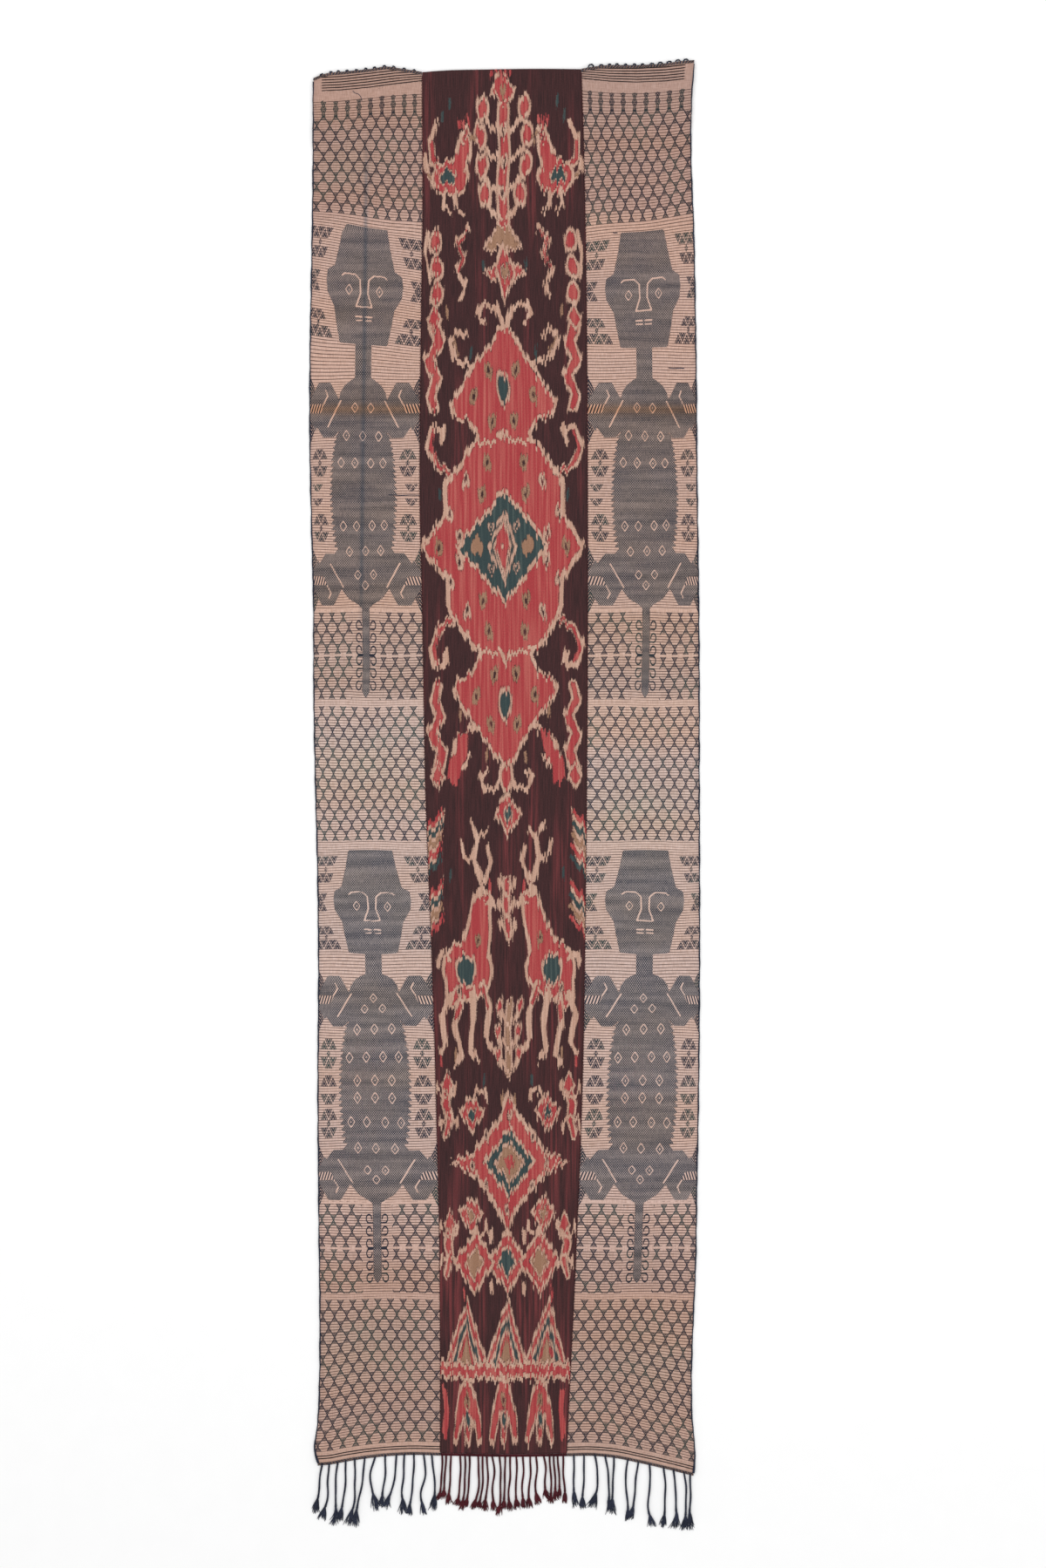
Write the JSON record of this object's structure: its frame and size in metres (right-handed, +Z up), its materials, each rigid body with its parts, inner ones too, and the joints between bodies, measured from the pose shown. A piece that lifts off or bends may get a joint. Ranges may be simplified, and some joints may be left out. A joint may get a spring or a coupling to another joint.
{
  "type": "ikat woven cloth",
  "caption": "Long cotton cloth of loom widths sewn side by side, laid flat, with a figured ikat middle, lattice sides and a knotted cord fringe.",
  "frame": {"origin": "centre of the laid cloth, on the surface it lies on", "axes": "+X across the widths to the viewer's right, +Y along the cloth away from its loose fringe, +Z up out of its face"},
  "size_m": [0.6252, 2.3616, 0.0061],
  "materials": {
    "float_warp_cotton": "cream cotton with a raised grey-blue and brown float-warp pattern",
    "ikat_cotton": "warp-ikat cotton on a maroon ground, plain weave, feathered outlines",
    "blue_cord": "two-ply indigo cotton cord with loosened ends",
    "maroon_cord": "two-ply maroon cotton cord with loosened ends"
  },
  "bodies": {
    "root": {"panel_left": "float_warp_cotton", "panel_middle": "ikat_cotton", "panel_right": "float_warp_cotton", "fringe_left": "blue_cord", "fringe_middle": "maroon_cord", "fringe_right": "blue_cord", "turned_fringe_left": "blue_cord", "turned_fringe_right": "blue_cord"}
  },
  "joints": []
}
